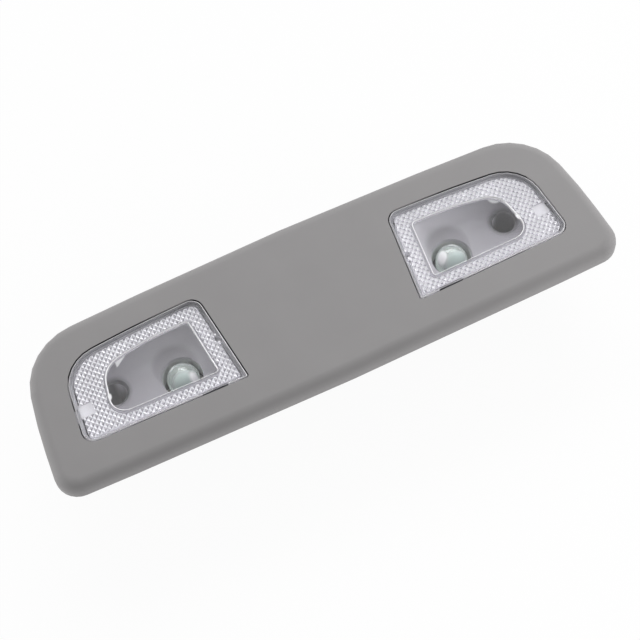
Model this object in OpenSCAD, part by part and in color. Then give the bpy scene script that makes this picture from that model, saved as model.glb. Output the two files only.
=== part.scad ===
// Twin reading lamp for a car's ceiling: one bezel, two lenses that are pressed to switch, a carrier behind.
// The visible face looks up (+Z). The origin lies on the flat back, below the middle of the bezel.
// The front edge, the longer one, is at -Y.

/* [Bezel] */
// length of the front edge
front_len = 190; // [188:1:194]
// height from the flat back to the visible face
face_z = 34; // [34:0.5:36]
// height of the skirt round the edge
skirt_h = 5.8; // [5.4:0.1:6.2]
// radius of the rolled edge
edge_r = 3.8; // [3:0.1:4]
// wall of the bezel
bezel_wall = 2; // [1.8:0.1:2.2]
// diameter of the four screw posts
post_d = 6; // [5.6:0.1:6.2]

/* [Lenses] */
// gap between a lens and its opening
lens_gap = 0.4; // [0.35:0.05:0.5]
// thickness of the lens plate
lens_t = 1.6; // [1.4:0.1:1.8]
// width of a prism cell
prism_w = 1.9; // [1.8:0.1:2.4]
// height of a prism
prism_h = 0.5; // [0.4:0.05:0.6]
// depth of the clear window's recess
window_drop = 0.5; // [0.3:0.1:0.7]
// radius of the hinge pins
pin_r = 0.9; // [0.8:0.05:0.95]

/* [Lamps] */
// diameter of the bulb
bulb_d = 10.3; // [9.8:0.1:10.6]
// length of the bulb
bulb_len = 24.6; // [24:0.1:24.8]
// diameter of the hole that the bulb stands in
throat_d = 12.8; // [12.4:0.2:13.2]

/* [Fixing] */
// distance between the two mounting holes
mount_span = 135.2; // [134:0.2:136]
// diameter of the mounting holes
mount_d = 4.5; // [4:0.1:5]
// diameter of the wells that the mounting screws drop into
well_d = 7.4; // [7:0.1:7.8]

/* [Hidden] */
eps = 0.01;
turn_step = 13;
prism_base = 0.1;
prism_l = 2.04;
prism_inset = 1.9;
comb_x = 56;
rim_chamfer = 0.35;
step_w = 0.4;
roll_steps = 5;
pin_clear = 0.07;
play = 0.3;

// bezel outline, right half from the front middle to the rear middle: x, y, fillet tangent length
front_half = front_len / 2;
rear_half = front_half - 6.4;
half_w = 26.2;
panel_right = [
    [front_half, -half_w, 7.65],
    [front_half - 1.7, 0, 9.7],
    [rear_half, half_w, 16.6],
];
panel_front = [0, -half_w - 2.3, front_half * 0.75];
panel_rear = [0, half_w + 3.2, rear_half * 0.55];

// one lens opening and its clear window, right hand
lens_line = [
    [28.9, -15.1, 0.9],
    [82.2, -14.05, 4.3],
    [79.5, 14.45, 10.6],
    [56, 16.6, 9.6],
    [32.6, 17.4, 3.9],
];
window_line = [
    [36.7, -9.1, 0.7],
    [70.7, -8.6, 5.4],
    [67.8, 7.6, 5.2],
    [53.5, 10.3, 7],
    [38.7, 10.6, 1.2],
];

bezel_under = face_z - bezel_wall;
frame_depth = 5.2;
frame_wall = 1.4;
opening_grow = 0.1;
rib_t = 1.2;
rib_h = 3;
rib_x = 9;
rib_y = 8;
rib_half_x = 27;
rib_half_y = 17;
ear_room = 0.8;
rim_z = face_z - skirt_h;

// carrier: a shallow tub behind the bezel and a deeper spine down its middle
tub_wall = 1.8;
tub_z = 14;
tub_floor = tub_z + tub_wall;
tub_line = [
    [88.6, -20.4, 7],
    [84.3, 21, 12],
    [-84.3, 21, 12],
    [-88.6, -20.4, 7],
];
spine_x = 74;
spine_y = 11.5;
spine_floor = 1.8;
bulkhead_gap = 9.6;
bulkhead_t = 1.6;
gusset_x = [12, 36, 60];
gusset_t = 1.4;
gusset_foot = 4;
gusset_reach = 18.5;

mount_x = mount_span / 2;
mount_y = 2.6;
mount_floor = 4;
boss_r = well_d / 2 + 1.6;

bulb_x = 46.6;
bulb_y = -1.8;
bulb_r = bulb_d / 2;
bulb_tip = face_z - 6.4;
bulb_foot = bulb_tip - bulb_len;
pinch_h = 8.4;
pinch_w = 9.2;
pinch_t = 2.6;
glass_t = 0.6;
holder_top = 10.2;
holder_len = 13;
holder_w = 9.4;
holder_wall = 1.2;
contact_t = 0.6;
contact_w = 5;
tail_w = 2.4;
tail_out = 6.2;
slot_t = pinch_t + 2 * contact_t + 1;
slot_len = 10;

bowl_rim = face_z - 4.4;
bowl_depth = 5.6;
bowl_wall = 1.2;
bowl_side = 6;
bowl_inset = 3.2;
bowl_corner = 8;
lens_mid = 50;
post_room = 1.6;
flange_gap = 0.5;
flange_t_rim = 1;
collar_h = 6;
leg_r = 1.2;
legs = [[44, 11.2], [44, -10.9]];
throat_bevel = 0.5;
well_bevel = 0.8;
bowl_floor = bowl_rim - bowl_depth;
bowl_under = bowl_floor - bowl_wall;

lens_skirt = 4.6;
skirt_t = 1.1;
pry_x = 39.9;
pry_w = 8.4;
pry_y = -14.25;
bead_w = 0.7;
bead_h = 0.5;
hinge_x = 84;
hinge_z = face_z - 4.4;
hinge_y = -2.8;
hinge_len = 10.2;
hook_w = 4.2;
pad_x = hinge_x - 8.7;
pad_h = 1;
ear_t = 2.2;
ear_in = 1.8;
ear_out = 3;
ear_over = 1.6;

switch_x = 32.3;
switch_y = 1.5;
switch_w = 8.4;
shelf_z = 12.8;
shelf_t = 1.8;
base_z = shelf_z + shelf_t;
base_t = 1.4;
shelf_half = 5;
rail_t = 1.2;
rail_half = 3;
rail_up = 2;
blade_w = 2.2;
blade_t = 0.8;
blade_gap = 3;
cap_z = base_z + base_t;
cap_h = 6.6;
cap_top = 1.2;
push_z = face_z - 6.6;
push_r = 1.1;
plunger_r = switch_w * 0.19;
plunger_bore = plunger_r + 0.35;
cap_bore = switch_w / 2 - 1.2;
flange_r = cap_bore - 0.4;
flange_t = 1.1;
flange_z = cap_z + cap_h - cap_top - play - flange_t;
wire_r = 0.28;
coil_r = flange_r - 0.6;

screw_x = 21;
screw_y = 15;
screw_r = 1.5;
pilot_r = 1.3;
screw_len = 11;
head_r = 2.7;
head_h = 2.1;

strip_t = 0.8;
strip_w = 1.6;
strip_gap = 1.2;
pad_half = 1.4;
ground_y = 8.3;
feed_pin_y = 5;
strip_z = spine_floor;
strip_top = strip_z + strip_t;
pin_pitch = 5;
pin_z = 7;
pin_w = 0.8;
shroud_len = 12.8;
shroud_w = 13.2;
shroud_h = 8.8;
shroud_wall = 1.6;
shroud_z = 2.6;

function unit(a) = a / norm(a);
function at(v, i) = let (p = v[(i + len(v)) % len(v)]) [p[0], p[1]];
function half_angle(v, i) =
    acos(unit(at(v, i - 1) - at(v, i)) * unit(at(v, i + 1) - at(v, i))) / 2;
function inward(v, i) =
    unit(unit(at(v, i - 1) - at(v, i)) + unit(at(v, i + 1) - at(v, i)));
// the same line moved in by g, with its fillets kept tangent
function inset(v, g, least = 0.4) = [
    for (i = [0 : len(v) - 1])
        let (h = half_angle(v, i), r = max(v[i][2] * tan(h) - g, least), p = at(v, i) + inward(v, i) * g / sin(h))
            [p[0], p[1], r / tan(h)]
];
// points along a filleted line, with more steps where it turns more
function steps(h) = max(2, round((180 - 2 * h) / turn_step));
function outline(v) = [
    for (i = [0 : len(v) - 1])
        let (
            h = half_angle(v, i),
            n = steps(h),
            r = v[i][2] * tan(h),
            c = at(v, i) + inward(v, i) * r / sin(h),
            u = at(v, i) + unit(at(v, i - 1) - at(v, i)) * v[i][2] - c,
            a = atan2(u[1], u[0])
        )
            for (k = [0 : n])
                c + r * [cos(a + k * (180 - 2 * h) / n), sin(a + k * (180 - 2 * h) / n)]
];
function flip(v) = [for (i = [len(v) - 1 : -1 : 0]) [-v[i][0], v[i][1], v[i][2]]];
bowl_line = [
    for (p = inset(lens_line, bowl_inset, bowl_corner))
        [p[0] < lens_mid ? p[0] + post_room : p[0], p[1], p[2]]
];
panel_line = concat([panel_front], panel_right, [panel_rear], flip(panel_right));

// a closed skin through rings of equal length, each given as [points, z], capped at the first and the last
module loft(rings) {
    n = len(rings[0][0]);
    m = len(rings);
    pts = [for (ring = rings) for (p = ring[0]) [p[0], p[1], ring[1]]];
    sides = [
        for (j = [0 : m - 2])
            for (i = [0 : n - 1])
                let (a = j * n + i, b = j * n + (i + 1) % n)
                    for (f = [[a, a + n, b + n], [a, b + n, b]])
                        f
    ];
    low = [for (i = [0 : n - 1]) i];
    high = [for (i = [n - 1 : -1 : 0]) (m - 1) * n + i];
    polyhedron(pts, concat(sides, [low, high]), convexity = 6);
}

module slab(v, z0, z1) {
    translate([0, 0, z0])
        linear_extrude(z1 - z0)
            polygon(outline(v));
}

module block(x, y, z) {
    translate([x[0], y[0], z[0]])
        cube([x[1] - x[0], y[1] - y[0], z[1] - z[0]]);
}

module both() {
    children();
    mirror([1, 0, 0])
        children();
}

// rings of a quarter-round edge of radius r that ends at height z
function rolled(v, r, z) = [
    for (k = [0 : roll_steps])
        let (a = 90 * k / roll_steps)
            [outline(inset(v, r * (1 - cos(a)))), z - r + r * sin(a)]
];

module bezel_skin() {
    inner = inset(panel_line, bezel_wall);
    under = rolled(inner, edge_r - bezel_wall, bezel_under);
    loft(concat(
        [for (k = [roll_steps : -1 : 0]) under[k]],
        [[outline(inner), rim_z], [outline(panel_line), rim_z]],
        rolled(panel_line, edge_r, face_z)
    ));
}

module bezel() {
    opening = inset(lens_line, -opening_grow);
    color([0.58, 0.57, 0.56])
        difference() {
            union() {
                bezel_skin();
                both()
                    slab(inset(opening, -frame_wall), face_z - frame_depth, bezel_under + eps);
                for (x = [-screw_x, screw_x], y = [-screw_y, screw_y])
                    translate([x, y, tub_floor])
                        cylinder(h = bezel_under - tub_floor + eps, d = post_d, $fn = 48);
                for (y = [-rib_y, rib_y])
                    block([-rib_half_x, rib_half_x], [y - rib_t / 2, y + rib_t / 2],
                        [bezel_under - rib_h, bezel_under + eps]);
                for (x = [-rib_x, rib_x])
                    block([x - rib_t / 2, x + rib_t / 2], [-rib_half_y, rib_half_y],
                        [bezel_under - rib_h, bezel_under + eps]);
            }
            both() {
                slab(opening, face_z - frame_depth - 1, face_z + 1);
                block([hinge_x - 5, hinge_x + ear_out],
                    [hinge_y - hinge_len / 2 - ear_room, hinge_y + hinge_len / 2 + ear_room],
                    [face_z - frame_depth - 1, bezel_under]);
            }
            for (x = [-screw_x, screw_x], y = [-screw_y, screw_y])
                translate([x, y, tub_floor - 1])
                    cylinder(h = screw_len + 1, r = pilot_r, $fn = 32);
        }
}

module carrier() {
    inner = inset(tub_line, tub_wall);
    slit_w = blade_w + 2 * play;
    slit_t = blade_t + 0.4;
    color([0.2, 0.2, 0.21])
        difference() {
            union() {
                difference() {
                    slab(tub_line, tub_z, bezel_under);
                    slab(inner, tub_floor, bezel_under + 1);
                    block([-spine_x + tub_wall, spine_x - tub_wall], [-spine_y + tub_wall, spine_y - tub_wall],
                        [tub_z - 1, tub_floor + 1]);
                }
                difference() {
                    block([-spine_x, spine_x], [-spine_y, spine_y], [0, tub_z + eps]);
                    block([-spine_x + tub_wall, spine_x - tub_wall], [-spine_y + tub_wall, spine_y - tub_wall],
                        [spine_floor, tub_z + 1]);
                }
                both() {
                    carrier_side();
                }
            }
            both() {
                translate([mount_x, mount_y, -1])
                    cylinder(h = mount_floor + 2, d = mount_d, $fn = 48);
                translate([mount_x, mount_y, mount_floor])
                    cylinder(h = face_z, d = well_d, $fn = 48);
                translate([hinge_x, hinge_y - hinge_len, hinge_z])
                    rotate([-90, 0, 0])
                        cylinder(h = hinge_len * 2, r = pin_r + pin_clear, $fn = 32);
                for (y = [-screw_y, screw_y])
                    translate([screw_x, y, tub_z - 1])
                        cylinder(h = tub_wall + 2, r = screw_r + 0.25, $fn = 32);
                for (y = [switch_y - blade_gap, switch_y + blade_gap])
                    block([switch_x - slit_w / 2, switch_x + slit_w / 2], [y - slit_t / 2, y + slit_t / 2],
                        [shelf_z - 1, base_z + 1]);
            }
            block([-shroud_w / 2, shroud_w / 2], [spine_y - tub_wall - 1, spine_y + 1],
                [shroud_z, shroud_z + shroud_h]);
        }
}

module carrier_side() {
    // screw well
    translate([mount_x, mount_y, 0])
        cylinder(h = bowl_under, r = boss_r, $fn = 64);
    // bulkhead under the reflector
    block([bulb_x + bulkhead_gap, bulb_x + bulkhead_gap + bulkhead_t], [-spine_y + eps, spine_y - eps],
        [1, bowl_under]);
    // shelf under the switch
    block([switch_x - shelf_half, switch_x + shelf_half], [-spine_y + eps, spine_y - eps], [shelf_z, base_z]);
    for (y = [switch_y - switch_w / 2 - play - rail_t, switch_y + switch_w / 2 + play])
        block([switch_x - rail_half, switch_x + rail_half], [y, y + rail_t], [base_z - eps, cap_z + rail_up]);
    // ears that hold the lens's pins
    for (y = [hinge_y - hinge_len / 2, hinge_y + hinge_len / 2 - ear_t])
        block([hinge_x - ear_in, hinge_x + ear_out], [y, y + ear_t], [hinge_z - ear_in, hinge_z + ear_over]);
    // gussets between the tub's floor and the spine
    for (x = gusset_x)
        for (s = [-1, 1])
            translate([x - gusset_t / 2, 0, 0])
                rotate([90, 0, 90])
                    linear_extrude(gusset_t)
                        polygon([
                            [s * (spine_y - eps), gusset_foot],
                            [s * (spine_y - eps), tub_z + eps],
                            [s * gusset_reach, tub_z + eps]
                        ]);
}

module prism_comb(angle, pitch) {
    n = 40;
    long = 120;
    translate([comb_x, 0, 0])
        rotate([0, 0, angle])
            translate([0, -long / 2, face_z - lens_t - prism_base - prism_h])
                rotate([-90, 0, 0])
                    linear_extrude(long)
                        polygon(concat(
                            [for (i = [-n : n]) for (q = [[i * pitch, -prism_h], [(i + 0.5) * pitch, 0]]) q],
                            [[(n + 1) * pitch, -prism_h], [(n + 1) * pitch, 1], [-n * pitch, 1]]
                        ));
}

// bead that frames the clear window from behind
module window_bead() {
    difference() {
        slab(inset(window_line, -bead_w - 0.1), face_z - lens_t - bead_h, face_z - lens_t + 0.2);
        slab(inset(window_line, -0.1), face_z - lens_t - bead_h - 1, face_z);
    }
}

module prism_ring() {
    field = inset(lens_line, prism_inset);
    low = face_z - lens_t - prism_base - prism_h;
    high = face_z - lens_t + 0.2;
    slope = atan2(prism_l, prism_w);
    pitch = prism_w * sin(slope);
    intersection() {
        difference() {
            slab(field, low, high);
            slab(inset(window_line, -bead_w - 0.3), low - 1, high + 1);
        }
        difference() {
            block([20, 90], [-20, 20], [low - 0.1, high + 0.1]);
            prism_comb(90 - slope, pitch);
        }
        difference() {
            block([20, 90], [-20, 20], [low - 0.1, high + 0.1]);
            prism_comb(slope - 90, pitch);
        }
    }
}

module lens() {
    rim = inset(lens_line, lens_gap - 0.1);
    difference() {
        union() {
            loft([
                [outline(rim), face_z - lens_t],
                [outline(rim), face_z - rim_chamfer],
                [outline(inset(rim, rim_chamfer)), face_z],
            ]);
            difference() {
                slab(rim, face_z - lens_skirt, face_z - lens_t + eps);
                slab(inset(rim, skirt_t), face_z - lens_skirt - 1, face_z - lens_t);
            }
            // hook and pins at the outer edge
            block([hinge_x - 4, hinge_x], [hinge_y - hook_w / 2, hinge_y + hook_w / 2],
                [hinge_z - pin_r, hinge_z + pin_r]);
            translate([hinge_x, hinge_y - hinge_len / 2, hinge_z])
                rotate([-90, 0, 0])
                    cylinder(h = hinge_len, r = pin_r, $fn = 32);
            // pad under the plate that carries the hook
            block([pad_x, hinge_x - 3.5], [hinge_y - hook_w / 2, hinge_y + hook_w / 2],
                [face_z - lens_t - pad_h, face_z - lens_t + eps]);
            // post that presses the switch
            translate([switch_x, switch_y, push_z])
                cylinder(h = face_z - lens_t - push_z + eps, r = push_r, $fn = 32);
        }
        // clear window, sunk behind a sloped step
        loft([
            [outline(window_line), face_z - window_drop],
            [outline(inset(window_line, -step_w)), face_z + eps],
        ]);
        // slot for a blade that lifts the lens out
        block([pry_x - pry_w / 2, pry_x + pry_w / 2], [pry_y - 1.6, pry_y],
            [face_z - lens_skirt - 1, face_z + 1]);
    }
}

// rings of a curved bowl below height top, lowest first
function bowl(v, side, depth, top) = [
    for (k = [roll_steps : -1 : 0])
        let (a = 90 * k / roll_steps)
            [outline(inset(v, side * (1 - cos(a)))), top - depth * sin(a)]
];

module reflector() {
    outer = inset(bowl_line, -bowl_wall);
    difference() {
        union() {
            loft(bowl(outer, bowl_side + bowl_wall, bowl_depth + bowl_wall, bowl_rim));
            // flange that backs the prism ring
            slab(inset(lens_line, lens_gap - 0.1 + skirt_t + flange_gap), bowl_rim - flange_t_rim, bowl_rim);
            // collar round the bulb and legs on the tub's floor
            translate([bulb_x, bulb_y, bowl_under - collar_h])
                cylinder(h = collar_h + eps, d = throat_d + 2 * bowl_wall, $fn = 64);
            for (p = legs)
                translate([p[0], p[1], tub_floor])
                    cylinder(h = bowl_rim - bowl_depth + 0.4 - tub_floor, r = leg_r, $fn = 24);
        }
        loft(concat(
            [for (k = [0 : roll_steps]) bowl(bowl_line, bowl_side, bowl_depth, bowl_rim)[k]],
            [[outline(bowl_line), bowl_rim + 1]]
        ));
        translate([bulb_x, bulb_y, bowl_under - collar_h - 1])
            cylinder(h = collar_h + 10, d = throat_d, $fn = 64);
        translate([bulb_x, bulb_y, bowl_floor - throat_bevel])
            cylinder(h = throat_bevel + eps, d1 = throat_d, d2 = throat_d + 2 * throat_bevel, $fn = 64);
        translate([mount_x, mount_y, bowl_under - 1])
            cylinder(h = 10, d = well_d, $fn = 48);
        translate([mount_x, mount_y, bowl_floor - well_bevel])
            cylinder(h = well_bevel + eps, d1 = well_d, d2 = well_d + 2 * well_bevel, $fn = 48);
        translate([switch_x, switch_y, bowl_rim - flange_t_rim - 1])
            cylinder(h = flange_t_rim + 2, r = push_r + 0.7, $fn = 32);
    }
}

module bulb_glass() {
    translate([bulb_x, bulb_y, 0]) {
        difference() {
            rotate_extrude($fn = 64)
                envelope(bulb_r, bulb_foot + pinch_h - 1, bulb_tip);
            rotate_extrude($fn = 64)
                envelope(bulb_r - glass_t, bulb_foot + pinch_h + 1.2, bulb_tip - glass_t);
        }
        difference() {
            block([-pinch_w / 2, pinch_w / 2], [-pinch_t / 2, pinch_t / 2], [bulb_foot, bulb_foot + pinch_h + 0.8]);
            for (x = [-pinch_w / 2, pinch_w / 2])
                translate([x, 0, bulb_foot + 3])
                    rotate([90, 0, 0])
                        cylinder(h = 2 * pinch_t, r = 0.6, center = true, $fn = 24);
        }
    }
}

// half section of a round-nosed glass envelope
module envelope(r, low, high) {
    intersection() {
        union() {
            translate([0, low + 1.5])
                square([r, high - r - low - 1.5]);
            square_top = high - r;
            translate([0, square_top])
                circle(r, $fn = 96);
            translate([0, low])
                square([r - 1.5, 2]);
            translate([r - 1.5, low + 1.5])
                circle(1.5, $fn = 32);
        }
        translate([0, low])
            square([r, high - low]);
    }
}

module filament() {
    coil_z = bulb_foot + 14;
    translate([bulb_x, bulb_y, 0]) {
        for (x = [-2.2, 2.2])
            translate([x, 0, bulb_foot + pinch_h - 1])
                cylinder(h = coil_z - bulb_foot - pinch_h + 1, r = 0.2, $fn = 16);
        translate([-2.4, 0, coil_z])
            rotate([0, 90, 0])
                cylinder(h = 4.8, r = 0.35, $fn = 24);
    }
}

module bulb_holder() {
    translate([bulb_x, bulb_y, 0])
        difference() {
            block([-holder_len / 2, holder_len / 2], [-holder_w / 2, holder_w / 2], [strip_z, holder_top]);
            block([-slot_len / 2, slot_len / 2], [-slot_t / 2, slot_t / 2], [strip_z + holder_wall, holder_top + 1]);
            // way out for the contacts' tails
            block([-tail_w / 2 - 0.4, tail_w / 2 + 0.4], [-holder_w, holder_w],
                [strip_z + holder_wall, strip_z + holder_wall + 1]);
            // lead-in for the bulb's foot
            block([-slot_len / 2 - 0.6, slot_len / 2 + 0.6], [-slot_t / 2 - 0.6, slot_t / 2 + 0.6],
                [holder_top - 1, holder_top + 1]);
        }
}

module bulb_contacts() {
    foot = strip_z + holder_wall;
    translate([bulb_x, bulb_y, 0])
        for (s = [0, 1])
            mirror([0, s, 0]) {
                block([-contact_w / 2, contact_w / 2], [pinch_t / 2, pinch_t / 2 + contact_t],
                    [foot, holder_top - 1.2]);
                block([-tail_w / 2, tail_w / 2], [pinch_t / 2, tail_out], [foot, foot + contact_t]);
                block([-tail_w / 2, tail_w / 2], [tail_out - strip_t, tail_out], [strip_top, foot + contact_t]);
            }
}

module switch_base() {
    translate([switch_x, switch_y, base_z]) {
        block([-switch_w / 2, switch_w / 2], [-switch_w / 2, switch_w / 2], [0, base_t]);
        for (y = [-blade_gap, blade_gap])
            block([-blade_w / 2, blade_w / 2], [y - blade_t / 2, y + blade_t / 2], [strip_top - base_z, eps]);
    }
}

module switch_cap() {
    translate([switch_x, switch_y, cap_z])
        difference() {
            block([-switch_w / 2, switch_w / 2], [-switch_w / 2, switch_w / 2], [0, cap_h]);
            translate([0, 0, -1])
                cylinder(h = cap_h - cap_top + 1, r = cap_bore, $fn = 48);
            cylinder(h = cap_h + 1, r = plunger_bore, $fn = 48);
        }
}

module switch_plunger() {
    translate([switch_x, switch_y, flange_z]) {
        cylinder(h = push_z - play - flange_z, r = plunger_r, $fn = 48);
        cylinder(h = flange_t, r = flange_r, $fn = 48);
    }
}

module switch_spring() {
    turns = 4;
    tall = flange_z - cap_z - 2 * wire_r;
    translate([switch_x, switch_y, cap_z + wire_r]) {
        linear_extrude(tall, twist = -360 * turns, slices = 12 * turns)
            translate([coil_r, 0])
                circle(wire_r * 1.4, $fn = 6);
    }
    translate([switch_x, switch_y, 0])
        for (z = [cap_z + wire_r, flange_z - wire_r])
            translate([0, 0, z])
                rotate_extrude($fn = 32)
                    translate([coil_r, 0])
                        circle(wire_r, $fn = 16);
}

module strip_switched() {
    y0 = switch_y - blade_gap;
    y1 = bulb_y + tail_out - strip_t / 2;
    bend = bulb_x - holder_len / 2 - strip_gap;
    block([switch_x - pad_half, bend], [y0 - 1, y0 + 1], [strip_z, strip_top]);
    block([bend - strip_w, bend], [y0 - 1, y1 + strip_w / 2], [strip_z, strip_top]);
    block([bend - strip_w, bulb_x + strip_w], [y1 - strip_w / 2, y1 + strip_w / 2], [strip_z, strip_top]);
}

module feed_strip() {
    y0 = bulb_y - tail_out + strip_t / 2;
    block([-bulb_x - strip_w, bulb_x + strip_w], [y0 - strip_w / 2, y0 + strip_w / 2], [strip_z, strip_top]);
    block([-pin_pitch / 2 - strip_w / 2, -pin_pitch / 2 + strip_w / 2], [y0, feed_pin_y + 1], [strip_z, strip_top]);
}

module ground_strip() {
    block([-switch_x - pad_half, switch_x + pad_half], [ground_y - 0.9, ground_y + 0.9], [strip_z, strip_top]);
    for (x = [-switch_x, switch_x])
        block([x - pad_half, x + pad_half], [switch_y + blade_gap - 1, ground_y], [strip_z, strip_top]);
}

module connector_pins() {
    color(brass)
    for (p = [[-pin_pitch / 2, feed_pin_y], [pin_pitch / 2, ground_y]])
        translate([p[0], 0, 0]) {
            block([-pin_w / 2, pin_w / 2], [p[1] - pin_w / 2, 17], [pin_z - pin_w / 2, pin_z + pin_w / 2]);
            block([-pin_w / 2, pin_w / 2], [p[1] - pin_w / 2, p[1] + pin_w / 2], [strip_top, pin_z]);
        }
}

module connector_shroud() {
    y0 = spine_y - tub_wall;
    color(black)
    difference() {
        union() {
            block([-shroud_w / 2, shroud_w / 2], [y0, y0 + shroud_len], [shroud_z, shroud_z + shroud_h]);
            block([-shroud_w / 2 - 1, shroud_w / 2 + 1], [spine_y, spine_y + 1.2],
                [shroud_z - 1, shroud_z + shroud_h + 1]);
            // ramp that a plug's latch snaps over
            translate([-2, 0, shroud_z + shroud_h - eps])
                rotate([90, 0, 90])
                    linear_extrude(4)
                        polygon([[y0 + 6.5, 0], [y0 + 6.5, 1.2], [y0 + 10, 0]]);
        }
        block([-shroud_w / 2 + shroud_wall, shroud_w / 2 - shroud_wall], [y0 + 2.8, y0 + shroud_len + 1],
            [shroud_z + shroud_wall, shroud_z + shroud_h - shroud_wall]);
        for (x = [-pin_pitch / 2, pin_pitch / 2])
            block([x - pin_w / 2, x + pin_w / 2], [y0 - 1, y0 + 4], [pin_z - pin_w / 2, pin_z + pin_w / 2]);
    }
}

module carrier_screws() {
    color(steel)
    for (x = [-screw_x, screw_x], y = [-screw_y, screw_y])
        translate([x, y, tub_z]) {
            difference() {
                translate([0, 0, -head_h])
                    cylinder(h = head_h, r = head_r, $fn = 48);
                for (a = [0, 90])
                    rotate([0, 0, a])
                        block([-1.6, 1.6], [-0.35, 0.35], [-head_h - 1, -head_h + 1.1]);
            }
            translate([0, 0, -0.5])
                cylinder(h = screw_len - 1, r = screw_r, $fn = 32);
            translate([0, 0, screw_len - 1.6])
                cylinder(h = 1.5, r1 = screw_r, r2 = 0.4, $fn = 32);
        }
}

clear = [0.93, 0.93, 0.95, 0.4];
silver = [0.75, 0.76, 0.78];
brass = [0.8, 0.66, 0.36];
steel = [0.65, 0.66, 0.68];
ivory = [0.85, 0.84, 0.8];
black = [0.12, 0.12, 0.13];

module lens_right() { color(clear) { lens(); window_bead(); prism_ring(); } }
module lens_left() { color(clear) mirror([1, 0, 0]) { lens(); window_bead(); prism_ring(); } }
module reflector_right() { color(silver) reflector(); }
module reflector_left() { color(silver) mirror([1, 0, 0]) reflector(); }
module bulb_glass_right() { color(clear) bulb_glass(); }
module bulb_glass_left() { color(clear) mirror([1, 0, 0]) bulb_glass(); }
module filament_right() { color(steel) filament(); }
module filament_left() { color(steel) mirror([1, 0, 0]) filament(); }
module bulb_holder_right() { color(ivory) bulb_holder(); }
module bulb_holder_left() { color(ivory) mirror([1, 0, 0]) bulb_holder(); }
module bulb_contacts_right() { color(brass) bulb_contacts(); }
module bulb_contacts_left() { color(brass) mirror([1, 0, 0]) bulb_contacts(); }
module switch_base_right() { color(black) switch_base(); }
module switch_base_left() { color(black) mirror([1, 0, 0]) switch_base(); }
module switch_cap_right() { color(black) switch_cap(); }
module switch_cap_left() { color(black) mirror([1, 0, 0]) switch_cap(); }
module switch_plunger_right() { color(ivory) switch_plunger(); }
module switch_plunger_left() { color(ivory) mirror([1, 0, 0]) switch_plunger(); }
module switch_spring_right() { color(steel) switch_spring(); }
module switch_spring_left() { color(steel) mirror([1, 0, 0]) switch_spring(); }
module strip_switched_right() { color(brass) strip_switched(); }
module strip_switched_left() { color(brass) mirror([1, 0, 0]) strip_switched(); }
module strip_feed() { color(brass) feed_strip(); }
module strip_ground() { color(brass) ground_strip(); }

bezel();
carrier();
lens_right();
lens_left();
reflector_right();
reflector_left();
bulb_glass_right();
bulb_glass_left();
filament_right();
filament_left();
bulb_holder_right();
bulb_holder_left();
bulb_contacts_right();
bulb_contacts_left();
switch_base_right();
switch_base_left();
switch_cap_right();
switch_cap_left();
switch_plunger_right();
switch_plunger_left();
switch_spring_right();
switch_spring_left();
strip_switched_right();
strip_switched_left();
strip_feed();
strip_ground();
connector_pins();
connector_shroud();
carrier_screws();
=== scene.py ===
import math

import bpy
from mathutils import Euler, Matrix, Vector


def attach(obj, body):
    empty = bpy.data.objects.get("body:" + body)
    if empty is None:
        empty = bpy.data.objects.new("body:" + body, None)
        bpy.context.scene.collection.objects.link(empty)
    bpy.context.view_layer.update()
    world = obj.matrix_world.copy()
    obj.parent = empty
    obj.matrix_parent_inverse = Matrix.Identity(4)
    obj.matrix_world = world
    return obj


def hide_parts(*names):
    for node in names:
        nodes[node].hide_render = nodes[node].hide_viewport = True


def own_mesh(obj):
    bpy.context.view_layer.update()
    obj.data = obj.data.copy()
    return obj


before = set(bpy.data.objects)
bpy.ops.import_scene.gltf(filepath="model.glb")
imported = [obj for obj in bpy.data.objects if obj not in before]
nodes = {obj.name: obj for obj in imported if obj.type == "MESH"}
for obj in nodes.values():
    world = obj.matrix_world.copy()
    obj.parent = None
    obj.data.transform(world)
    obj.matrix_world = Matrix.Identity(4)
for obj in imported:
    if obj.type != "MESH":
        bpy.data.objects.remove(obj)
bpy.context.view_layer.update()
MM = 0.001
FACE_Z = 34 * MM


# ---- shader helpers; positions and levels inside materials are millimetres ----

def new_material(name):
    """A material with its tree and its Principled shader."""
    material = bpy.data.materials.new(name)
    material.use_nodes = True
    tree = material.node_tree
    return material, tree, tree.nodes["Principled BSDF"]


def noise(t, scale, detail=2.0, rough=0.5):
    n = t.nodes.new("ShaderNodeTexNoise")
    n.inputs["Scale"].default_value = scale
    n.inputs["Detail"].default_value = detail
    n.inputs["Roughness"].default_value = rough
    t.links.new(t.nodes.new("ShaderNodeTexCoord").outputs["Object"], n.inputs["Vector"])
    return n.outputs["Fac"]


def ramp(t, fac, low, high):
    """Colours low and high are (position, colour) pairs."""
    r = t.nodes.new("ShaderNodeValToRGB")
    for element, (position, color) in zip(r.color_ramp.elements, (low, high)):
        element.position = position
        element.color = (*color, 1)
    t.links.new(fac, r.inputs["Fac"])
    return r.outputs["Color"]


def span(t, fac, low, high):
    """0 to 1 becomes low to high."""
    m = t.nodes.new("ShaderNodeMapRange")
    m.inputs["To Min"].default_value = low
    m.inputs["To Max"].default_value = high
    t.links.new(fac, m.inputs["Value"])
    return m.outputs["Result"]


def bump(t, bsdf, height, distance):
    b = t.nodes.new("ShaderNodeBump")
    b.inputs["Distance"].default_value = distance
    b.inputs["Strength"].default_value = 1.0
    t.links.new(height, b.inputs["Height"])
    t.links.new(b.outputs["Normal"], bsdf.inputs["Normal"])


def maths(t, op, a, b=None):
    n = t.nodes.new("ShaderNodeMath")
    n.operation = op
    for k, v in enumerate((a, b)):
        if v is None:
            continue
        if isinstance(v, (int, float)):
            n.inputs[k].default_value = v
        else:
            t.links.new(v, n.inputs[k])
    return n.outputs[0]


def product(t, value, *more):
    for factor in more:
        value = maths(t, "MULTIPLY", value, factor)
    return value


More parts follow.
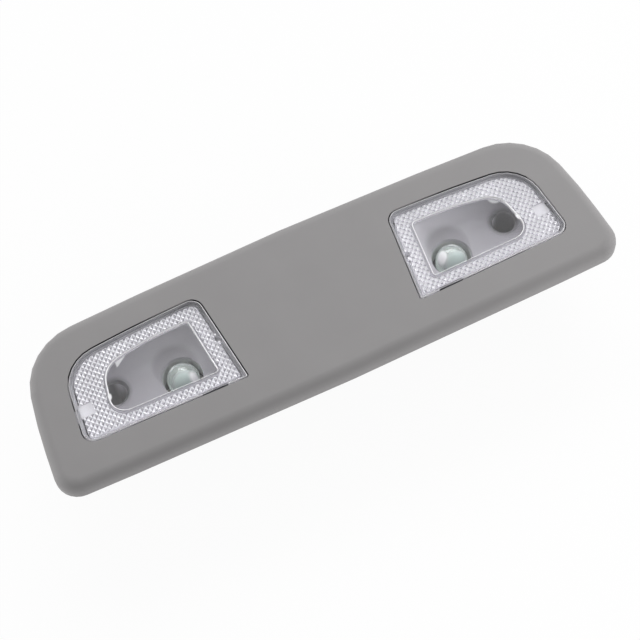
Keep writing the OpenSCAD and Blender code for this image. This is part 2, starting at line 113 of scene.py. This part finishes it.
def highest(t, value, *more):
    for other in more:
        value = maths(t, "MAXIMUM", value, other)
    return value


def size_of(t, value):
    return maths(t, "ABSOLUTE", value)


def millimetres(t):
    """The object's own x, y and z."""
    sep = t.nodes.new("ShaderNodeSeparateXYZ")
    t.links.new(t.nodes.new("ShaderNodeTexCoord").outputs["Object"], sep.inputs[0])
    return [maths(t, "MULTIPLY", sep.outputs[k], 1 / MM) for k in range(3)]


def fade(t, value, full, none, ease="SMOOTHSTEP"):
    """1 at full and past it, 0 at none and past it, eased between them."""
    m = t.nodes.new("ShaderNodeMapRange")
    m.interpolation_type = ease
    m.inputs["From Min"].default_value = min(full, none)
    m.inputs["From Max"].default_value = max(full, none)
    m.inputs["To Min"].default_value = 1.0 if full < none else 0.0
    m.inputs["To Max"].default_value = 0.0 if full < none else 1.0
    t.links.new(value, m.inputs["Value"])
    return m.outputs["Result"]


def spot(t, x, y, at, full, none, wide=1.0, turn=0):
    """A soft spot round a point, wider along an axis that is turned by some degrees from x."""
    dx, dy = maths(t, "SUBTRACT", x, at[0]), maths(t, "SUBTRACT", y, at[1])
    c, s = math.cos(math.radians(turn)), math.sin(math.radians(turn))
    u = maths(t, "ADD", maths(t, "MULTIPLY", dx, c / wide), maths(t, "MULTIPLY", dy, s / wide))
    v = maths(t, "SUBTRACT", maths(t, "MULTIPLY", dy, c), maths(t, "MULTIPLY", dx, s))
    r = maths(t, "SQRT", maths(t, "ADD", maths(t, "MULTIPLY", u, u), maths(t, "MULTIPLY", v, v)))
    return fade(t, r, full, none)


def blend(t, fac, a, b):
    """Colour a where fac is 0 and b where it is 1; each is a colour or a socket."""
    m = t.nodes.new("ShaderNodeMix")
    m.data_type = "RGBA"
    t.links.new(fac, m.inputs["Factor"])
    for socket, v in ((m.inputs[6], a), (m.inputs[7], b)):
        if isinstance(v, tuple):
            socket.default_value = (*v, 1)
        else:
            t.links.new(v, socket)
    return m.outputs[2]


def see_through(t, bsdf, tint):
    """Light reaches what lies behind a clear piece straight, so its shadow rays pass."""
    mix = t.nodes.new("ShaderNodeMixShader")
    path = t.nodes.new("ShaderNodeLightPath")
    veil = t.nodes.new("ShaderNodeBsdfTransparent")
    veil.inputs["Color"].default_value = (*tint, 1)
    t.links.new(path.outputs["Is Shadow Ray"], mix.inputs["Fac"])
    t.links.new(bsdf.outputs["BSDF"], mix.inputs[1])
    t.links.new(veil.outputs["BSDF"], mix.inputs[2])
    t.links.new(mix.outputs["Shader"], t.nodes["Material Output"].inputs["Surface"])


def moulded(name, color, rough, grain=2600, depth=0.00001, spread=0.03, specular=0.5):
    """Moulded plastic: a fine etched grain, faint colour drift and a little variation in gloss."""
    m, t, b = new_material(name)
    drift = ramp(t, noise(t, 60, 3),
                 (0.3, [v * (1 - spread) for v in color]), (0.7, [v * (1 + spread) for v in color]))
    t.links.new(drift, b.inputs["Base Color"])
    fine = noise(t, grain, 4, 0.6)
    t.links.new(span(t, fine, rough - 0.06, rough + 0.06), b.inputs["Roughness"])
    b.inputs["Specular IOR Level"].default_value = specular
    bump(t, b, fine, depth)
    return m


def metal(name, color, rough, grain=900, depth=0.000004):
    """Drawn or stamped metal with a faint mottle in colour and gloss."""
    m, t, b = new_material(name)
    b.inputs["Metallic"].default_value = 1.0
    fine = noise(t, grain, 3)
    mottle = ramp(t, fine, (0.3, [v * 0.93 for v in color]), (0.75, [min(v * 1.05, 1) for v in color]))
    t.links.new(mottle, b.inputs["Base Color"])
    t.links.new(span(t, fine, rough - 0.05, rough + 0.08), b.inputs["Roughness"])
    bump(t, b, fine, depth)
    return m


# ---- materials ----

DEEP_SHADE = (0.02, 0.02, 0.022)
POST = (32.3, 1.5)            # the lens's post over its switch
SLOT_X, SLOT_HALF = 39.9, 4.2     # the slot for lifting the lens out
SLOT_WALL_Y = -14.25
UNDERSIDE = (32.3, 32.37)     # full below the lens plate's underside, none above it
PLATE_TOP = (33.42, 33.47)    # full below the level of the window's face, none above it


def bezel_material():
    """Grey moulding, with painted shade on the walls of the lens openings."""
    m = moulded("bezel_grain", (0.295, 0.287, 0.289), 0.62,
                grain=2800, depth=0.000012, spread=0.02, specular=0.4)
    t = m.node_tree
    x, y, z = millimetres(t)
    # painted shade: below the top face, inside the openings' box, the walls are painted a deep shade
    opening_wall_shade = product(t, fade(t, z, 33.75, 33.95), fade(t, size_of(t, x), 78.5, 79.5),
                   fade(t, size_of(t, y), 16.5, 17.5))
    base = t.nodes["Principled BSDF"].inputs["Base Color"]
    t.links.new(blend(t, opening_wall_shade, base.links[0].from_socket, DEEP_SHADE), base)
    return m


def carrier_material():
    """Black moulding, with painted light inside the screw wells, from grey on their outer side to pale on
    their inner side.
    """
    m = moulded("carrier_black", (0.035, 0.035, 0.037), 0.5, grain=1200)
    t = m.node_tree
    x, y, z = millimetres(t)
    out = size_of(t, x)
    # painted light: the inside of each screw well, above 4 to 8 mm, is painted grey to pale
    inside = product(t, fade(t, z, 8.0, 4.0), spot(t, out, y, (67.6, 2.6), 3.75, 3.9))
    paler = blend(t, fade(t, out, 65.0, 67.5), (0.16, 0.155, 0.165), (0.85, 0.84, 0.87))
    base = t.nodes["Principled BSDF"].inputs["Base Color"]
    t.links.new(blend(t, inside, base.links[0].from_socket, paler), base)
    return m


def lens_material():
    """Clear, with the prisms and the skirt slightly milky; painted highlights on the steps round window and
    rim and on the window's edge, painted light on the post, and painted shade on prism faces, upright walls,
    under the bead and in the slot.
    """
    m, t, b = new_material("lens_clear")
    x, y, z = millimetres(t)
    out = size_of(t, x)
    cloud = noise(t, 500, 3)
    facing = t.nodes.new("ShaderNodeSeparateXYZ")
    t.links.new(t.nodes.new("ShaderNodeTexCoord").outputs["Normal"], facing.inputs[0])
    facing_up = size_of(t, facing.outputs[2])
    field = fade(t, z, *UNDERSIDE)
    near_post = spot(t, out, y, POST, 1.4, 2.4)

    # painted shade on the prism faces by the way they face: each of a prism's four faces has its own tone,
    # mirrored on the two lenses
    across = product(t, facing.outputs[0], maths(t, "SIGN", x), 0.73)
    along = product(t, facing.outputs[1], 0.68)
    first, second = maths(t, "ADD", across, along), maths(t, "SUBTRACT", across, along)
    facet_shade = highest(t, fade(t, first, 0.45, 0.3), product(t, fade(t, second, 0.45, 0.3), 0.3))
    sloped = product(t, field, fade(t, facing_up, 0.6, 0.4))
    # painted shade: a thin dark band along the underside of the bead
    under_bead = product(t, fade(t, z, 31.89, 31.86), fade(t, z, 31.91, 31.94))
    # painted shade: the wall of the slot in the front edge is painted dark, so the slot shows as a dark gap
    slot = product(t,
                   fade(t, size_of(t, maths(t, "SUBTRACT", out, SLOT_X)), SLOT_HALF - 0.05, SLOT_HALF + 0.05),
                   fade(t, size_of(t, maths(t, "SUBTRACT", y, SLOT_WALL_Y)), 0.03, 0.06),
                   fade(t, z, 33.35, 33.45))
    # painted shade: upright walls are painted darker than the plate, except along the front and round the post
    upright = product(t, fade(t, facing_up, 0.4, 0.6), fade(t, z, *PLATE_TOP), fade(t, y, -11.5, -12.5),
                      fade(t, near_post, 0.0, 0.2))
    # all the painted shade of the lens together
    dark = highest(t, product(t, facet_shade, sloped), product(t, under_bead, 0.9), product(t, upright, 0.75), slot)

    low = product(t, field, span(t, cloud, 0.60, 0.70), maths(t, "SUBTRACT", 1.0, product(t, under_bead, 0.3)))
    side = product(t, fade(t, z, 32.46, 32.42), fade(t, z, *PLATE_TOP), 0.45)
    skirt = product(t, fade(t, z, 31.6, 31.75), 0.6)
    # painted highlight: the recess step round the window and the rim's chamfer are near-white bright lines
    step_highlight = product(t, fade(t, z, 33.56, 33.51), fade(t, z, 33.94, 33.985), 0.95)
    # painted highlight: a small glint on the window's outer edge
    glint = product(t, fade(t, z, 33.3, 33.1), spot(t, out, y, (69.6, -2.3), 0.3, 0.8, 2.0, 103))
    # painted light: the post below the plate is milky white, so it reads light through the plate
    post = product(t, fade(t, z, 32.45, 32.5), near_post, 0.7)
    milk = highest(t, low, side, step_highlight, glint, skirt, post, product(t, dark, 0.92))

    white = blend(t, field, (0.88, 0.87, 0.89), (0.70, 0.69, 0.735))
    white = blend(t, dark, white, (0.16, 0.155, 0.18))
    white = blend(t, slot, white, (0.13, 0.13, 0.14))
    t.links.new(blend(t, milk, (0.97, 0.97, 0.98), white), b.inputs["Base Color"])
    t.links.new(maths(t, "SUBTRACT", 1.0, milk), b.inputs["Transmission Weight"])
    t.links.new(maths(t, "ADD", product(t, milk, 0.2), span(t, cloud, 0.0, 0.03)), b.inputs["Roughness"])
    b.inputs["IOR"].default_value = 1.49
    see_through(t, b, (0.92, 0.92, 0.93))
    return m


def glass_material():
    """Clear glass, with painted light in the middle of its round end, a painted highlight mark, a thin painted
    highlight arc and painted light on its flank.
    """
    m, t, b = new_material("bulb_glass")
    x, y, z = millimetres(t)
    out = size_of(t, x)
    tip = fade(t, z, 24.6, 21.5)
    # painted light: a pale greenish patch in the middle of the round end
    pale = product(t, tip, spot(t, out, y, (46.9, -4.6), 1.4, 4.4, 1.3))
    # painted highlights: a bright mark on the inner side of each bulb and a thin arc
    bright = highest(t, spot(t, x, y, (43.5, -1.4), 0.8, 2.2, 1.5, 75),
                     spot(t, x, y, (-43.6, -4.6), 0.7, 2.1, 1.5, 95))
    arc = spot(t, out, y, (48.6, 1.6), 0.15, 0.7, 3.0, -35)
    painted_shine = product(t, tip, highest(t, bright, product(t, arc, 0.7)))
    # painted light: the flank below the tip is partly solid and near-white, lightening the gap round the bulb
    flank = product(t, fade(t, z, 23.2, 24.2), 0.45)
    solid = highest(t, product(t, pale, 0.85), painted_shine, product(t, tip, 0.12), flank)
    tint = blend(t, pale, (0.93, 0.98, 0.955), (0.40, 0.48, 0.455))
    t.links.new(blend(t, painted_shine, tint, (0.80, 0.80, 0.80)), b.inputs["Base Color"])
    t.links.new(maths(t, "SUBTRACT", 1.0, solid), b.inputs["Transmission Weight"])
    t.links.new(span(t, noise(t, 300), 0.01, 0.05), b.inputs["Roughness"])
    b.inputs["IOR"].default_value = 1.5
    see_through(t, b, (0.92, 0.96, 0.94))
    return m


def reflector_material():
    """Satin grey, with painted light on its flange, towards the rear and low in the throat, painted shade on
    the left bowl, round the screw's well, round the bulb and in a faint band between them, and painted glints
    in the rear corners.
    """
    m, t, b = new_material("reflector_satin")
    x, y, z = millimetres(t)
    out = size_of(t, x)
    light = ramp(t, noise(t, 45, 3), (0.3, (0.225, 0.218, 0.24)), (0.7, (0.255, 0.247, 0.27)))
    # painted light: lighter towards the rear and the inner side
    rear = product(t, fade(t, y, 11.0, -11.0, "LINEAR"), fade(t, out, 40.0, 70.0, "LINEAR"))
    light = blend(t, rear, light, (0.46, 0.45, 0.475))
    # painted shade: the left bowl a little darker
    light = blend(t, product(t, fade(t, x, -45.0, 45.0), 0.1), light, (0.05, 0.05, 0.053))
    # painted light: lighter on the flange
    light = blend(t, fade(t, z, 29.3, 28.2), light, (0.52, 0.51, 0.54))
    # painted light: near-white low in the throat round the bulb
    light = blend(t, fade(t, z, 22.7, 23.9), light, (0.8, 0.8, 0.8))
    # painted shade: dark round the screw's well, round the bulb's throat and in a faint band between them
    well = product(t, spot(t, out, y, (67.4, 2.8), 3.0, 6.2, 1.05), 0.86)
    ring = product(t, spot(t, out, y, (47.6, 2.6), 5.6, 8.6), 0.42)
    band = product(t, spot(t, out, y, (58.5, 1.6), 1.5, 6.5, 2.2), 0.16)
    # painted glints: the left bowl's gleam is a triangle between a slanted line and two upright ones, the
    # right one's a soft spot
    slant = maths(t, "ADD", product(t, x, -0.453), product(t, y, 0.891))
    corner = product(t, fade(t, slant, 38.0, 37.6), fade(t, x, -63.6, -64.1), fade(t, x, -57.6, -57.2))
    gleam = highest(t, spot(t, x, y, (68.0, 10.8), 0.9, 1.6, 1.7, -30), corner)
    base = blend(t, highest(t, well, ring, band), light, DEEP_SHADE)
    t.links.new(blend(t, gleam, base, (0.97, 0.97, 0.97)), b.inputs["Base Color"])
    t.links.new(span(t, noise(t, 90, 3), 0.34, 0.46), b.inputs["Roughness"])
    bump(t, b, noise(t, 700), 0.00001)
    return m


BRASS = (0.75, 0.6, 0.32)
SWITCH_BLACK = (0.03, 0.03, 0.032)
by_kind = {
    "bezel": bezel_material(),
    "carrier": carrier_material(),
    "lens": lens_material(),
    "reflector": reflector_material(),
    "bulb_glass": glass_material(),
    "filament": metal("tungsten", (0.42, 0.41, 0.42), 0.4),
    "bulb_holder": moulded("holder_ivory", (0.62, 0.6, 0.54), 0.5),
    "bulb_contacts": metal("brass_strip", BRASS, 0.3),
    "switch_base": moulded("switch_black", SWITCH_BLACK, 0.45),
    "switch_cap": moulded("switch_cap_black", SWITCH_BLACK, 0.45),
    "switch_plunger": moulded("plunger_ivory", (0.6, 0.58, 0.53), 0.35),
    "switch_spring": metal("spring_steel", (0.55, 0.55, 0.57), 0.3),
    "strip": metal("strip_brass", BRASS, 0.32),
    "connector_pins": metal("pin_brass", (0.78, 0.63, 0.34), 0.25),
    "connector_shroud": moulded("shroud_black", SWITCH_BLACK, 0.45),
    "carrier_screws": metal("screw_zinc", (0.6, 0.61, 0.64), 0.32),
}


# ---- the pieces ----

WELD = 0.002 * MM
SMOOTH_ANGLE = 26     # degrees; the facets of a rounding meet at less, real edges at more


def round_off(obj):
    """Smooth shading across the narrow facets of a rounding; flat faces and real edges stay crisp."""
    obj.data.polygons.foreach_set("use_smooth", [True] * len(obj.data.polygons))
    weld = obj.modifiers.new("weld", "WELD")
    weld.merge_threshold = WELD
    split = obj.modifiers.new("edges", "EDGE_SPLIT")
    split.split_angle = math.radians(SMOOTH_ANGLE)
    weigh = obj.modifiers.new("weigh", "WEIGHTED_NORMAL")
    weigh.weight = 100
    weigh.keep_sharp = True


for name, obj in nodes.items():
    kind = max((k for k in by_kind if name.startswith(k)), key=len)
    obj.data.materials.clear()
    obj.data.materials.append(by_kind[kind])
    round_off(obj)

# on the real lamp the switch springs shorten as the plungers go down; here each is drawn by a copy with a mesh
# of its own, attached to the housing, and the original is hidden
for side in ("right", "left"):
    spring = nodes[f"switch_spring_{side}"]
    coil = bpy.data.objects.new(f"spring_coil_{side}", spring.data.copy())
    bpy.context.scene.collection.objects.link(coil)
    round_off(coil)
    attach(coil, "housing")
    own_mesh(coil)
    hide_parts(f"switch_spring_{side}")


# ---- floor, world, lamps and camera ----

FLOOR_GLOW = 0.95     # the rest is a diffuse floor that takes the object's shadow
AMBIENT = 0.28        # the world's strength for diffuse light; 1 where it is seen or mirrored

floor_mat, ft, floor_bsdf = new_material("floor_white")
ft.nodes.remove(floor_bsdf)
matt = ft.nodes.new("ShaderNodeBsdfDiffuse")
matt.inputs["Color"].default_value = (0.95, 0.95, 0.95, 1)
glow = ft.nodes.new("ShaderNodeEmission")
glow.inputs["Strength"].default_value = 1.0
mix = ft.nodes.new("ShaderNodeMixShader")
mix.inputs["Fac"].default_value = FLOOR_GLOW
ft.links.new(matt.outputs["BSDF"], mix.inputs[1])
ft.links.new(glow.outputs["Emission"], mix.inputs[2])
ft.links.new(mix.outputs["Shader"], ft.nodes["Material Output"].inputs["Surface"])
bpy.ops.mesh.primitive_plane_add(size=6, location=(0, 0, 0))
floor = bpy.context.object
floor.name = "floor"
floor.data.materials.append(floor_mat)

world = bpy.data.worlds.new("studio")
bpy.context.scene.world = world
world.use_nodes = True
wt = world.node_tree
sky = wt.nodes["Background"]
sky.inputs["Color"].default_value = (1, 1, 1, 1)
path = wt.nodes.new("ShaderNodeLightPath")
seen = highest(wt, path.outputs["Is Camera Ray"], path.outputs["Is Transmission Ray"],
               path.outputs["Is Glossy Ray"])
wt.links.new(span(wt, seen, AMBIENT, 1.0), sky.inputs["Strength"])


def area(name, at, target, size, power):
    d = bpy.data.lights.new(name, "AREA")
    d.shape = "RECTANGLE"
    d.size, d.size_y = size
    d.energy = power
    o = bpy.data.objects.new(name, d)
    bpy.context.scene.collection.objects.link(o)
    o.location = at
    o.rotation_euler = (Vector(target) - Vector(at)).to_track_quat("-Z", "Y").to_euler()
    return o


MIDDLE = (0, 0, 0.03)
area("top", (0.5, 1.2, 1.1), MIDDLE, (1.7, 0.7), 21)
area("right", (1.0, -0.45, 0.45), MIDDLE, (0.6, 0.6), 2.8)
# small and close to the right front corner, so the lenses don't mirror it
near_lamp = area("corner", (0.30, -0.22, 0.15), (0.08, -0.03, 0.03), (0.15, 0.1), 0.4)
near_lamp.visible_glossy = False
area("left", (-1.1, 0.15, 0.16), MIDDLE, (0.6, 0.3), 4.5)

# the camera, solved from the photo's outline and lens edges
FOCAL_PX = 1595.79
IMAGE_PX = 640
SENSOR = 36     # mm
cam = bpy.data.cameras.new("camera")
cam.sensor_width = SENSOR
cam.lens = SENSOR * FOCAL_PX / IMAGE_PX
cam.clip_start = 0.01
cam_o = bpy.data.objects.new("camera", cam)
cam_o.location = (-0.072699, -0.216485, FACE_Z + 0.437118)
cam_o.rotation_euler = Euler((0.464413, 0.055378, -0.437232), "XYZ")
bpy.context.scene.collection.objects.link(cam_o)
bpy.context.scene.camera = cam_o
bpy.context.scene.view_settings.view_transform = "Standard"
